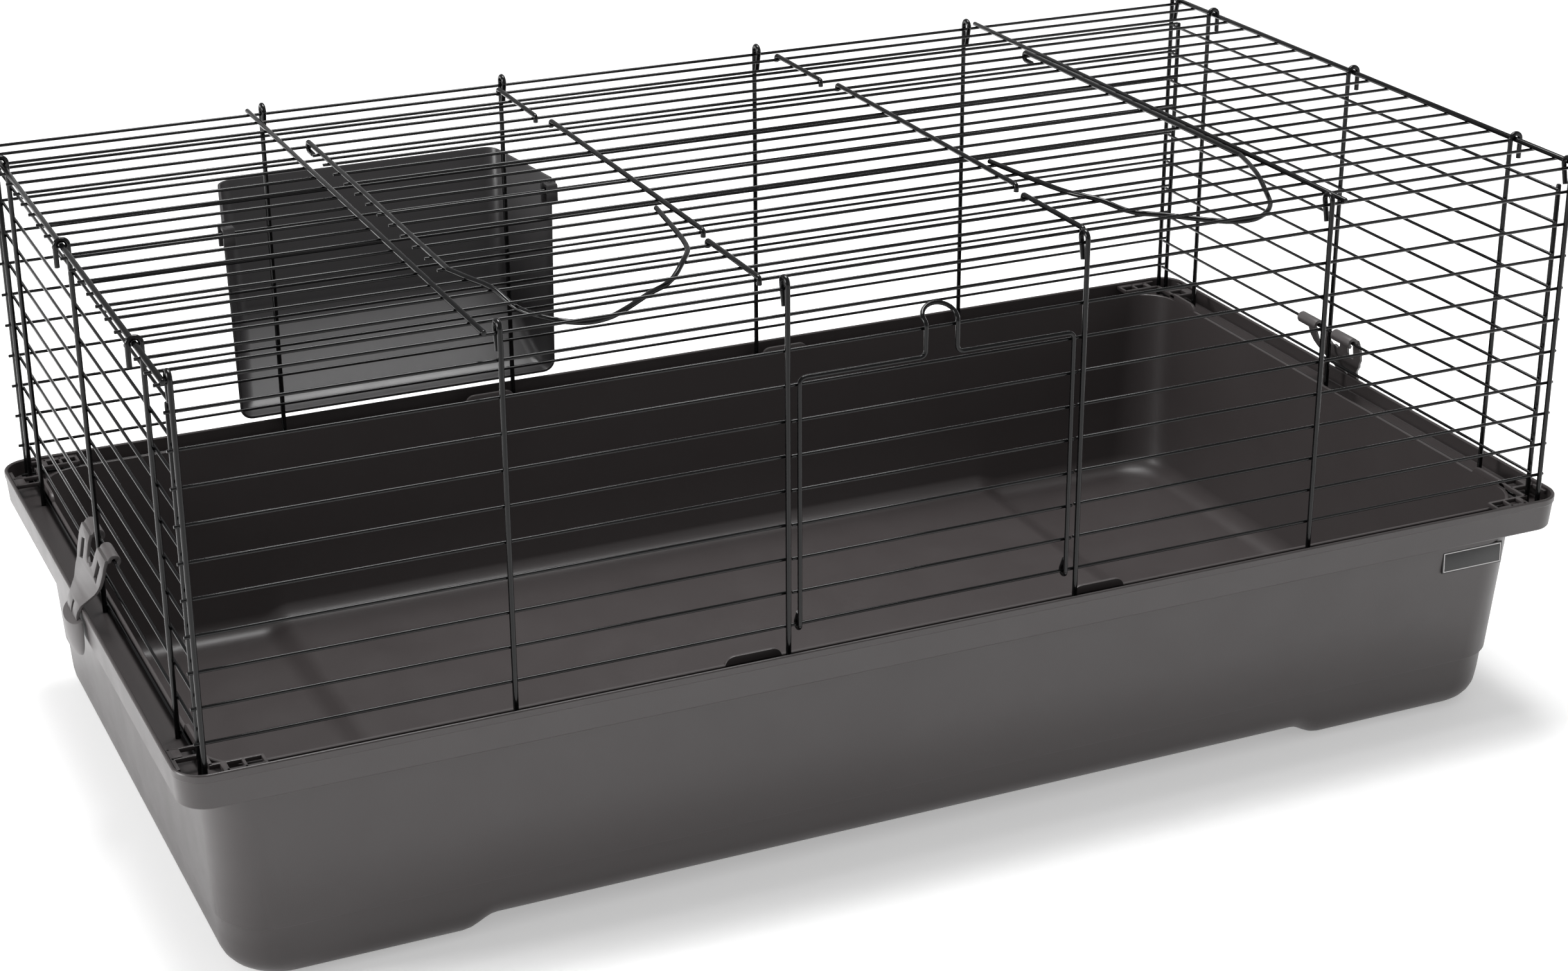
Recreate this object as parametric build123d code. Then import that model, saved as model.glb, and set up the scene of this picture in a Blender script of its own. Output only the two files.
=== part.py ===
from build123d import *
import os

# Guinea pig cage: a shallow plastic tub with a hooked-together wire top, a top door,
# a front door, two end clips and a hay rack. Lengths are in millimetres.
# The model is laid out about the tub's own centre with z = 0 at the top of the rim,
# and place() moves each piece so that the origin is on the floor, under the middle
# of the whole footprint.

# Tub
RIM_LENGTH = 1000.0
RIM_WIDTH = 536.0
RIM_CORNER_RADIUS = 20.0
TUB_HEIGHT = 166.0
SKIRT_HEIGHT = 24.0
SKIRT_WALL = 2.6
SKIRT_DRAFT = 1.9
CHANNEL_DEPTH = 12.0
CHANNEL_FLOOR = 2.6
CHANNEL_GAP_END = 19.4
CHANNEL_GAP_SIDE = 13.0
RIB_WALL = 2.4
RIB_DROP = 6.0
BODY_SET_OUT = 2.2
BODY_DRAFT = 7.5
BODY_WALL = 2.8
BODY_CORNER_TOP = 32.0
BODY_CORNER_BOTTOM = 40.0
BOTTOM_EDGE_RADIUS = 18.0
STEP_DROP = 125.0
STEP_INSET = 1.5
ARCH_HALF_LENGTH = 300.0
ARCH_RAMP = 22.0
ARCH_HEIGHT = 8.0
SWEEP_HALF_LENGTH = 350.0
SWEEP_DROP = 115.0
SWEEP_RELIEF = 0.8
TONGUE_WIDTH = 40.0
TONGUE_TOP_DROP = 1.0
TONGUE_CORNER = 8.0
SIDE_TONGUE_X = 126.0
END_TONGUE_Y = 211.0
BRACKET_LENGTH = 34.0
BRACKET_WIDTH = 30.0
BRACKET_TOP_DROP = 2.0
BRACKET_PLATE = 3.0
POCKET = 7.0

# Wires
UPRIGHT_WIRE = 3.5
RAIL_WIRE = 2.2
CROSS_WIRE = 3.5
EDGE_WIRE = 3.8
DOOR_WIRE = 3.0
WELD_SINK = 0.3
WIRE_GAP = 0.3
STUB = 3.0

# Wire top
PANEL_INSET_SIDE = 9.6
PANEL_INSET_END = 18.0
DOOR_BAY_HALF = 104.3
OUTER_BAY_HALF = 288.1
END_HOOK_PITCH = 196.75
END_HOOK_SHIFT = 5.5
END_CORNER_INSET = 11.4
TOP_RAIL_HEIGHT = 224.4
RAIL_PITCH = 23.26
RAIL_COUNT = 11
DOOR_FIRST_RAIL = 3
DOOR_HINGE_RAIL = 9
HOOK_RADIUS = 4.2
HOOK_TAIL = 14.0
HOOK_TAIL_PINCH = 3.4
END_HOOK_GAP = 0.4
ROOF_HEIGHT = 241.2
ROOF_PITCH = 24.61
ROOF_WIRES = 22
ROOF_HINGE_WIRE = 4
CROSS_WIRE_X = 298.0
STUB_WIRE_X = 113.5
TURN_DOWN = 3.0

# Top door
TOP_DOOR_HALF = 285.6
TOP_DOOR_SHIFT = 5.0
LATCH_START_Y = 143.9
HINGE_TAIL = 9.0

# Front door
FRONT_DOOR_HALF = 96.5
FRONT_DOOR_TOP_ABOVE_RAIL = 5.2
FRONT_DOOR_CORNER = 5.0
HINGE_LOOP_TAIL = 8.0
HANDLE_LEFT = -9.7
HANDLE_RIGHT = 12.5
HANDLE_BEND = 4.0
HANDLE_RISE = 12.0
HANDLE_LEAN = 10.0

# End clips
CLIP_WALL = 2.4
CLIP_GAP = 0.5
CLIP_LOBE_WIDTH = 24.0
CLIP_SPAN = 70.0
CLIP_WAIST = 27.0
CLIP_PAD = 42.0
CLIP_PAD_DROP = 38.0
CLIP_PAD_BULGE = 7.0
CLIP_CATCH = 2.5
CLIP_CATCH_GAP = 0.8
CLIP_RAIL = 8

# Hay rack
RACK_CENTRE_X = -194.0
RACK_WALL = 2.2
RACK_FRONT_WIDTH = 258.0
RACK_FRONT_WIDTH_LOW = 252.0
RACK_TOP_WIDTH = 221.0
RACK_CREASE_WIDTH = 202.0
RACK_TOP = 168.0
RACK_FRONT_TOP = 163.0
RACK_CREASE = 60.0
RACK_BOTTOM = 5.0
RACK_TOP_DEPTH = 83.0
RACK_CREASE_DEPTH = 70.0
RACK_BOTTOM_DEPTH = 15.0
RACK_CORNER = 8.0
RACK_HOOK_OFFSET = 126.0
RACK_HOOK_WIDTH = 22.0
RACK_HOOK_RAIL = 3
RACK_HOOK_RISE = 7.0
RACK_HOOK_TONGUE = 12.0

# Sizes that follow from the ones above
HALF_LENGTH = RIM_LENGTH / 2
HALF_WIDTH = RIM_WIDTH / 2
UP_R = UPRIGHT_WIRE / 2
RAIL_R = RAIL_WIRE / 2
CROSS_R = CROSS_WIRE / 2
EDGE_R = EDGE_WIRE / 2
DOOR_R = DOOR_WIRE / 2
RIB_OUT_X = HALF_LENGTH - SKIRT_WALL - CHANNEL_GAP_END
RIB_OUT_Y = HALF_WIDTH - SKIRT_WALL - CHANNEL_GAP_SIDE
RIB_IN_X = RIB_OUT_X - RIB_WALL
RIB_IN_Y = RIB_OUT_Y - RIB_WALL
SIDE_PANEL_Y = HALF_WIDTH - PANEL_INSET_SIDE
END_PANEL_X = HALF_LENGTH - PANEL_INSET_END
SIDE_RAIL_Y = SIDE_PANEL_Y - UP_R - RAIL_R + WELD_SINK
END_RAIL_X = END_PANEL_X - UP_R - RAIL_R + WELD_SINK
END_CORNER_Y = SIDE_PANEL_Y - END_CORNER_INSET
SIDE_RAIL_HALF = END_PANEL_X + UP_R + STUB
END_RAIL_HALF = END_CORNER_Y + STUB
CHANNEL_FLOOR_Z = -CHANNEL_DEPTH
ROOF_EDGE_X = END_PANEL_X + UP_R + EDGE_R + END_HOOK_GAP
ROOF_OUTER_Y = SIDE_PANEL_Y - UP_R - RAIL_R - WIRE_GAP
ROOF_TOP_WIRE_Z = ROOF_HEIGHT + RAIL_R + CROSS_R - WELD_SINK
ROOF_EDGE_Z = ROOF_HEIGHT + RAIL_R + EDGE_R - WELD_SINK
ROOF_HALF_X = ROOF_EDGE_X + EDGE_R + STUB
DOOR_HOOK_RADIUS = RAIL_R + CROSS_R + WIRE_GAP
TOP_DOOR_Z = ROOF_HEIGHT + DOOR_HOOK_RADIUS
TOP_DOOR_BAR_Z = TOP_DOOR_Z - CROSS_R - RAIL_R + WELD_SINK
FRONT_DOOR_Y = SIDE_RAIL_Y + RAIL_R + DOOR_R + WIRE_GAP
FRONT_BAR_Y = FRONT_DOOR_Y - DOOR_R - RAIL_R + WELD_SINK
RACK_FACE_Y = SIDE_PANEL_Y + UP_R + WIRE_GAP
FOOTPRINT_BACK = RACK_FACE_Y + RACK_TOP_DEPTH
FOOTPRINT_SHIFT = (HALF_WIDTH - FOOTPRINT_BACK) / 2


def rail_z(k):
    return TOP_RAIL_HEIGHT - RAIL_PITCH * k


def roof_y(i):
    """Y of roof wire i, counted from the back; the two outermost sit in the side panels' hooks."""
    if i == 0:
        return ROOF_OUTER_Y
    if i == ROOF_WIRES - 1:
        return -ROOF_OUTER_Y
    return ROOF_PITCH * ((ROOF_WIRES - 1) / 2 - i)


def x_wire(x0, x1, y, z, diameter):
    return Pos(x0, y, z) * Rot(0, 90, 0) * Cylinder(
        diameter / 2, x1 - x0, align=(Align.CENTER, Align.CENTER, Align.MIN))


def y_wire(y0, y1, x, z, diameter):
    return Pos(x, y0, z) * Rot(-90, 0, 0) * Cylinder(
        diameter / 2, y1 - y0, align=(Align.CENTER, Align.CENTER, Align.MIN))


def swept_wire(path, diameter):
    start = Plane(origin=path @ 0, z_dir=path % 0)
    return sweep(start * Circle(diameter / 2), path=path)


def bent_wire(points, radii, diameter):
    """A wire along straight runs joined by tangent bends."""
    return swept_wire(FilletPolyline(*points, radius=radii), diameter)


def rounded_slab(length, width, radius, z):
    return Plane.XY.offset(z) * RectangleRounded(length, width, radius)


def prism(length, width, radius, z0, z1):
    return extrude(rounded_slab(length, width, radius, z0), z1 - z0)


def frustum(lower, upper):
    """A solid between two rounded rectangles, each given as length, width, radius and z."""
    return loft([rounded_slab(*lower), rounded_slab(*upper)], ruled=True)


# Tub

def arch_profile(rise):
    """The raised middle of the bottom, seen from the front, with an S-shaped ramp at each end."""
    base = -TUB_HEIGHT - 1.0
    foot = -TUB_HEIGHT + rise
    top = foot + ARCH_HEIGHT
    a = ARCH_HALF_LENGTH
    b = a + ARCH_RAMP
    mid = a + ARCH_RAMP / 2
    left = Bezier((-b, foot), (-mid, foot), (-mid, top), (-a, top))
    right = Bezier((a, top), (mid, top), (mid, foot), (b, foot))
    outline = left + Line((-a, top), (a, top)) + right
    outline += Polyline((b, foot), (b, base), (-b, base), (-b, foot))
    return Plane.XZ * make_face(outline)


def arch_block(rise):
    return extrude(arch_profile(rise), RIM_WIDTH, both=True)


def sweep_block():
    """The area above the long curved relief line on both long walls."""
    s = SWEEP_HALF_LENGTH
    d = SWEEP_DROP
    curve = Spline((-s, -SKIRT_HEIGHT), (-s * 0.957, -d * 0.565), (-s * 0.74, -d * 0.92),
                   (0, -d), (s * 0.74, -d * 0.92), (s * 0.957, -d * 0.565), (s, -SKIRT_HEIGHT))
    outline = curve + Line((s, -SKIRT_HEIGHT), (-s, -SKIRT_HEIGHT))
    return extrude(Plane.XZ * make_face(outline), RIM_WIDTH, both=True)


def body_half_at(drop):
    """Half length and half width of the body's outer wall, a given drop below the rim."""
    share = (drop - CHANNEL_DEPTH) / (TUB_HEIGHT - CHANNEL_DEPTH)
    inward = BODY_DRAFT * share - BODY_SET_OUT
    return RIB_OUT_X - inward, RIB_OUT_Y - inward


def body_slab(drop, inset, radius, thin_y=0.0):
    half_x, half_y = body_half_at(drop)
    return 2 * (half_x - inset), 2 * (half_y - inset - thin_y), radius, -drop


def body_solid(thin_y=0.0):
    step_radius = BODY_CORNER_TOP + (BODY_CORNER_BOTTOM - BODY_CORNER_TOP) * STEP_DROP / TUB_HEIGHT
    return frustum(body_slab(STEP_DROP, 0.0, step_radius, thin_y),
                   body_slab(CHANNEL_DEPTH + CHANNEL_FLOOR / 2, 0.0, BODY_CORNER_TOP, thin_y))


def lower_band():
    step_radius = BODY_CORNER_TOP + (BODY_CORNER_BOTTOM - BODY_CORNER_TOP) * STEP_DROP / TUB_HEIGHT
    band = frustum(body_slab(TUB_HEIGHT, STEP_INSET, BODY_CORNER_BOTTOM),
                   body_slab(STEP_DROP, STEP_INSET, step_radius))
    return fillet(band.edges().group_by(Axis.Z)[0], BOTTOM_EDGE_RADIUS)


def cavity_block(thin_y=0.0):
    """The space inside the body's walls, before its bottom edge is rounded."""
    bottom_x, bottom_y = body_half_at(TUB_HEIGHT)
    inset = STEP_INSET + BODY_WALL
    low = (2 * (bottom_x - inset), 2 * (bottom_y - inset - thin_y), BODY_CORNER_BOTTOM - BODY_WALL,
           BODY_WALL - TUB_HEIGHT)
    high = (2 * RIB_IN_X, 2 * (RIB_IN_Y - thin_y), BODY_CORNER_TOP - BODY_WALL, -RIB_DROP)
    return frustum(low, high)


def cavity():
    inside = cavity_block()
    inside = fillet(inside.edges().group_by(Axis.Z)[0], BOTTOM_EDGE_RADIUS - BODY_WALL)
    return inside + prism(2 * RIB_IN_X, 2 * RIB_IN_Y, BODY_CORNER_TOP - BODY_WALL, -RIB_DROP, 1.0)


def tongue(width):
    """A standing tongue in the plane of the channel's inner rib, seen square on."""
    height = CHANNEL_DEPTH + CHANNEL_FLOOR / 2 - TONGUE_TOP_DROP
    plate = Box(width, RIB_WALL, height, align=(Align.CENTER, Align.CENTER, Align.MIN))
    top = plate.edges().filter_by(Axis.Y).group_by(Axis.Z)[-1]
    plate = fillet(top, min(TONGUE_CORNER, height * 0.6))
    return Pos(0, 0, -CHANNEL_DEPTH - CHANNEL_FLOOR / 2) * plate


def corner_bracket():
    """Pocketed L-shaped frame across the channel's corner, with holes that the corner wires stand in."""
    z = -BRACKET_TOP_DROP - BRACKET_PLATE
    x1 = HALF_LENGTH - SKIRT_WALL
    y1 = HALF_WIDTH - SKIRT_WALL
    x0 = RIB_OUT_X - BRACKET_LENGTH
    y0 = RIB_OUT_Y - BRACKET_WIDTH
    low = (Align.MIN, Align.MIN, Align.MIN)
    plate = Pos(x0, RIB_IN_Y, z) * Box(x1 - x0, y1 - RIB_IN_Y, BRACKET_PLATE, align=low)
    plate += Pos(RIB_IN_X, y0, z) * Box(x1 - RIB_IN_X, y1 - y0, BRACKET_PLATE, align=low)
    hole = Box(POCKET, POCKET, 3 * BRACKET_PLATE)
    rows = [(END_PANEL_X, SIDE_PANEL_Y), (END_PANEL_X, END_CORNER_Y)]
    rows += [(END_PANEL_X - n * (POCKET + RIB_WALL), SIDE_PANEL_Y) for n in (2, 3)]
    for x, y in rows:
        plate -= Pos(x, y, z) * hole
    rib = Pos(x0, RIB_IN_Y, z) * Box(RIB_OUT_X - x0, RIB_WALL, BRACKET_PLATE, align=low)
    feet = Pos(x0, RIB_IN_Y, CHANNEL_FLOOR_Z) * Box(RIB_OUT_X - x0, RIB_WALL, CHANNEL_DEPTH - BRACKET_TOP_DROP, align=low)
    feet += Pos(RIB_IN_X, y0, CHANNEL_FLOOR_Z) * Box(RIB_WALL, RIB_OUT_Y - y0, CHANNEL_DEPTH - BRACKET_TOP_DROP, align=low)
    space = prism(2 * x1, 2 * y1, RIM_CORNER_RADIUS - SKIRT_WALL, CHANNEL_FLOOR_Z, 0.0)
    corner = prism(2 * RIB_IN_X, 2 * RIB_IN_Y, BODY_CORNER_TOP - BODY_WALL, CHANNEL_FLOOR_Z - 1.0, 1.0)
    return ((plate + rib + feet) & space) - corner


def tub():
    inner_l = RIM_LENGTH - 2 * SKIRT_WALL
    inner_w = RIM_WIDTH - 2 * SKIRT_WALL
    inner_r = RIM_CORNER_RADIUS - SKIRT_WALL
    lower = (RIM_LENGTH - 2 * SKIRT_DRAFT, RIM_WIDTH - 2 * SKIRT_DRAFT, RIM_CORNER_RADIUS, -SKIRT_HEIGHT)
    upper = (RIM_LENGTH, RIM_WIDTH, RIM_CORNER_RADIUS, 0.0)
    shell = frustum(lower, upper)
    shell = fillet(shell.edges().group_by(Axis.Z)[-1], SKIRT_WALL * 0.35)
    shell -= prism(inner_l, inner_w, inner_r, CHANNEL_FLOOR_Z, 1.0)
    under_l = inner_l - 2 * SKIRT_DRAFT
    under_w = inner_w - 2 * SKIRT_DRAFT
    shell -= prism(under_l, under_w, inner_r, -SKIRT_HEIGHT - 1.0, CHANNEL_FLOOR_Z - CHANNEL_FLOOR)
    relief = sweep_block() & (body_solid() - body_solid(SWEEP_RELIEF))
    shell += (body_solid() - relief) + lower_band()
    shell -= arch_block(0.0)
    shell += prism(2 * RIB_OUT_X, 2 * RIB_OUT_Y, BODY_CORNER_TOP, CHANNEL_FLOOR_Z - CHANNEL_FLOOR / 2, -RIB_DROP)
    hollow = cavity()
    raised = sweep_block() & (cavity_block() - cavity_block(SWEEP_RELIEF))
    hollow = hollow - raised - arch_block(BODY_WALL)
    shell -= hollow
    rib_y = RIB_IN_Y + RIB_WALL / 2
    rib_x = RIB_IN_X + RIB_WALL / 2
    for side in (-1, 1):
        for x in (-SIDE_TONGUE_X, SIDE_TONGUE_X):
            shell += Pos(x, side * rib_y, 0) * tongue(TONGUE_WIDTH)
        for y in (-END_TONGUE_Y, END_TONGUE_Y):
            shell += Pos(side * rib_x, y, 0) * Rot(0, 0, 90) * tongue(TONGUE_WIDTH)
    bracket = corner_bracket()
    back_pair = bracket + mirror(bracket, about=Plane.YZ)
    shell += back_pair
    shell += mirror(back_pair, about=Plane.XZ)
    return shell


# Wire top

def side_upright(x, side):
    """An upright of the front or back panel, hooked over the roof's outermost wire."""
    top_z = ROOF_HOOK_TOP - UP_R
    centre_z = top_z - HOOK_RADIUS
    tail = Vector(-HOOK_TAIL_PINCH, -HOOK_TAIL)
    tail_angle = 90 - abs(tail.get_angle(Vector(-1, 0)))
    leg = Line((0, CHANNEL_FLOOR_Z), (0, centre_z))
    loop = JernArc(start=(0, centre_z), tangent=(0, 1), radius=HOOK_RADIUS, arc_size=-(180 + tail_angle))
    end = loop @ 1 + (loop % 1) * HOOK_TAIL
    path = leg + loop + Line(loop @ 1, end)
    frame = Plane(origin=(x, side * SIDE_PANEL_Y, 0), x_dir=(0, -side, 0), z_dir=(-side, 0, 0))
    return swept_wire(frame * path, UPRIGHT_WIRE)


ROOF_HOOK_TOP = ROOF_EDGE_Z + HOOK_RADIUS + UP_R


def end_hooked_upright(side, y):
    """An end panel's upright, hooked over the roof's edge wire from the inside."""
    radius = ROOF_EDGE_X - END_PANEL_X
    leg = Line((0, CHANNEL_FLOOR_Z), (0, ROOF_EDGE_Z))
    loop = JernArc(start=(0, ROOF_EDGE_Z), tangent=(0, 1), radius=radius, arc_size=-180)
    end = loop @ 1 + (loop % 1) * HOOK_TAIL
    path = leg + loop + Line(loop @ 1, end)
    frame = Plane(origin=(side * END_PANEL_X, y, 0), x_dir=(side, 0, 0), z_dir=(0, -side, 0))
    return swept_wire(frame * path, UPRIGHT_WIRE)


def side_uprights(side):
    places = (DOOR_BAY_HALF, OUTER_BAY_HALF, END_PANEL_X)
    return [side_upright(sign * x, side) for x in places for sign in (-1, 1)]


def end_uprights(side):
    wires = []
    for step in (-1, 0, 1):
        wires.append(end_hooked_upright(side, END_HOOK_SHIFT + step * END_HOOK_PITCH))
    for sign in (-1, 1):
        low = Pos(side * END_PANEL_X, sign * END_CORNER_Y, CHANNEL_FLOOR_Z)
        height = rail_z(0) + STUB - CHANNEL_FLOOR_Z
        wires.append(low * Cylinder(UP_R, height, align=(Align.CENTER, Align.CENTER, Align.MIN)))
    return wires


def cut_rail_indices():
    return range(DOOR_FIRST_RAIL, DOOR_HINGE_RAIL)


def front_rails():
    full = [k for k in range(RAIL_COUNT) if k not in cut_rail_indices()]
    return [x_wire(-SIDE_RAIL_HALF, SIDE_RAIL_HALF, -SIDE_RAIL_Y, rail_z(k), RAIL_WIRE) for k in full]


def front_short_rails():
    end = DOOR_BAY_HALF - UP_R
    wires = []
    for k in cut_rail_indices():
        wires.append(x_wire(-SIDE_RAIL_HALF, -end, -SIDE_RAIL_Y, rail_z(k), RAIL_WIRE))
        wires.append(x_wire(end, SIDE_RAIL_HALF, -SIDE_RAIL_Y, rail_z(k), RAIL_WIRE))
    return wires


def back_rails():
    return [x_wire(-SIDE_RAIL_HALF, SIDE_RAIL_HALF, SIDE_RAIL_Y, rail_z(k), RAIL_WIRE)
            for k in range(RAIL_COUNT)]


def end_rails(side):
    return [y_wire(-END_RAIL_HALF, END_RAIL_HALF, side * END_RAIL_X, rail_z(k), RAIL_WIRE)
            for k in range(RAIL_COUNT)]


def door_wire_indices():
    return range(ROOF_HINGE_WIRE + 1, ROOF_WIRES - 1 - ROOF_HINGE_WIRE)


def roof_long_wires():
    full = [i for i in range(ROOF_WIRES) if i not in door_wire_indices()]
    return [x_wire(-ROOF_HALF_X, ROOF_HALF_X, roof_y(i), ROOF_HEIGHT, RAIL_WIRE) for i in full]


def roof_short_wires():
    inner = CROSS_WIRE_X - CROSS_R
    wires = []
    for i in door_wire_indices():
        wires.append(x_wire(-ROOF_HALF_X, -inner, roof_y(i), ROOF_HEIGHT, RAIL_WIRE))
        wires.append(x_wire(inner, ROOF_HALF_X, roof_y(i), ROOF_HEIGHT, RAIL_WIRE))
    return wires


def roof_cross_wires():
    reach = ROOF_OUTER_Y + RAIL_R + STUB
    return [y_wire(-reach, reach, sign * CROSS_WIRE_X, ROOF_TOP_WIRE_Z, CROSS_WIRE) for sign in (-1, 1)]


def roof_edge_wires():
    reach = ROOF_OUTER_Y + RAIL_R + STUB
    return [y_wire(-reach, reach, sign * ROOF_EDGE_X, ROOF_EDGE_Z, EDGE_WIRE) for sign in (-1, 1)]


def turned_down_wire(x, y0, y1, z):
    """A short cross wire along Y whose two ends are turned down beside the wires it holds."""
    low = z - CROSS_R - TURN_DOWN
    points = [(x, y0, low), (x, y0, z), (x, y1, z), (x, y1, low)]
    return bent_wire(points, CROSS_R + 0.6, CROSS_WIRE)


def cross_wire_end(i, beyond):
    """Where a turned-down end clears roof wire i, on its far side (beyond is +1 back, -1 front)."""
    return roof_y(i) + beyond * (RAIL_R + CROSS_R + WIRE_GAP)


def roof_stub_wires():
    front_inner = ROOF_WIRES - 1 - ROOF_HINGE_WIRE
    wires = []
    for sign in (-1, 1):
        x = sign * STUB_WIRE_X
        wires.append(turned_down_wire(x, cross_wire_end(ROOF_HINGE_WIRE, -1), cross_wire_end(1, 1), ROOF_TOP_WIRE_Z))
        wires.append(turned_down_wire(x, cross_wire_end(ROOF_WIRES - 2, -1), cross_wire_end(front_inner, 1),
                                      ROOF_TOP_WIRE_Z))
    return wires


# Top door

def top_door_side_wire(sign):
    """A door side wire: its back end curls under the roof wire that the door hangs on."""
    hinge_y = roof_y(ROOF_HINGE_WIRE)
    run = Line((-LATCH_START_Y, TOP_DOOR_Z), (hinge_y, TOP_DOOR_Z))
    curl = JernArc(start=run @ 1, tangent=(1, 0), radius=DOOR_HOOK_RADIUS, arc_size=-180)
    path = run + curl + Line(curl @ 1, curl @ 1 + (curl % 1) * HINGE_TAIL)
    frame = Plane(origin=(sign * TOP_DOOR_HALF + TOP_DOOR_SHIFT, 0, 0), x_dir=(0, 1, 0), z_dir=(1, 0, 0))
    return swept_wire(frame * path, CROSS_WIRE)


def top_door_side_wires():
    return [top_door_side_wire(sign) for sign in (-1, 1)]


def top_door_bars():
    half = TOP_DOOR_HALF + CROSS_R + STUB
    return [x_wire(TOP_DOOR_SHIFT - half, TOP_DOOR_SHIFT + half, roof_y(i), TOP_DOOR_BAR_Z, RAIL_WIRE)
            for i in door_wire_indices()]


def top_door_cross_wires():
    first = ROOF_HINGE_WIRE + 1
    last = ROOF_WIRES - 2 - ROOF_HINGE_WIRE
    return [turned_down_wire(TOP_DOOR_SHIFT + sign * STUB_WIRE_X, cross_wire_end(last, -1),
                             cross_wire_end(first, 1), TOP_DOOR_Z) for sign in (-1, 1)]


# The latch spring's route for the right-hand side: distance from the door's middle towards its side,
# y, and depth below the side wires.
LATCH_ROUTE = [
    (285.6, -143.9, 0.0), (280.0, -163.0, 0.0), (271.5, -188.0, 0.0), (266.5, -207.0, 7.2),
    (257.5, -226.0, 8.0), (246.0, -238.0, 9.2), (232.5, -243.5, 10.2), (217.0, -240.0, 10.4),
    (201.0, -229.5, 9.4), (181.0, -215.0, 7.8), (162.5, -204.0, 7.2), (148.0, -188.5, 0.0),
    (137.0, -171.0, 0.0), (132.5, -150.0, 0.0), (128.5, -124.0, 0.0), (123.0, -83.0, 0.0)]
LATCH_BENDS = 5.0


def latch_spring(sign):
    points = [(sign * x + TOP_DOOR_SHIFT, y, TOP_DOOR_Z - depth) for x, y, depth in LATCH_ROUTE]
    return bent_wire(points, LATCH_BENDS, CROSS_WIRE)


# Front door

def front_door_frame():
    """One bent wire: hinge loop, leg, top rail with the looped handle, leg and hinge loop."""
    y = -FRONT_DOOR_Y
    top = rail_z(2) + FRONT_DOOR_TOP_ABOVE_RAIL
    handle_rail = rail_z(1)
    inner_y = -SIDE_RAIL_Y + RAIL_R + DOOR_R + WIRE_GAP
    over = handle_rail + RAIL_R + DOOR_R + WIRE_GAP
    loop_top = over + HANDLE_RISE
    points = [
        (-FRONT_DOOR_HALF, y, rail_z(DOOR_HINGE_RAIL)),
        (-FRONT_DOOR_HALF, y, top),
        (HANDLE_LEFT, y, top),
        (HANDLE_LEFT, y, over + 1.0),
        (HANDLE_LEFT, inner_y + 1.5, over + 4.0),
        (HANDLE_LEFT, inner_y + HANDLE_LEAN, loop_top),
        (HANDLE_RIGHT, inner_y + HANDLE_LEAN, loop_top),
        (HANDLE_RIGHT, inner_y + 1.5, over + 4.0),
        (HANDLE_RIGHT, y, over + 1.0),
        (HANDLE_RIGHT, y, top),
        (FRONT_DOOR_HALF, y, top),
        (FRONT_DOOR_HALF, y, rail_z(DOOR_HINGE_RAIL))]
    radii = [FRONT_DOOR_CORNER, HANDLE_BEND, 1.8, 1.8, 4.5, 4.5, 1.8, 1.8, HANDLE_BEND, FRONT_DOOR_CORNER]
    frame = bent_wire(points, radii, DOOR_WIRE)
    for sign in (-1, 1):
        frame += hinge_loop(sign * FRONT_DOOR_HALF)
    return frame


def hinge_loop(x):
    """The teardrop at a leg's foot: round under the hinge rail, up behind it and back to the leg."""
    radius = FRONT_DOOR_Y - SIDE_RAIL_Y
    turn = JernArc(start=(0, 0), tangent=(0, -1), radius=radius, arc_size=205)
    tail = Line(turn @ 1, turn @ 1 + (turn % 1) * HINGE_LOOP_TAIL)
    frame = Plane(origin=(x, -FRONT_DOOR_Y, rail_z(DOOR_HINGE_RAIL)), x_dir=(0, 1, 0), z_dir=(1, 0, 0))
    return swept_wire(frame * (turn + tail), DOOR_WIRE)


def front_door_bars():
    half = FRONT_DOOR_HALF + DOOR_R + STUB
    return [x_wire(-half, half, -FRONT_BAR_Y, rail_z(k) - WIRE_GAP, RAIL_WIRE) for k in cut_rail_indices()]


# End clips

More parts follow.
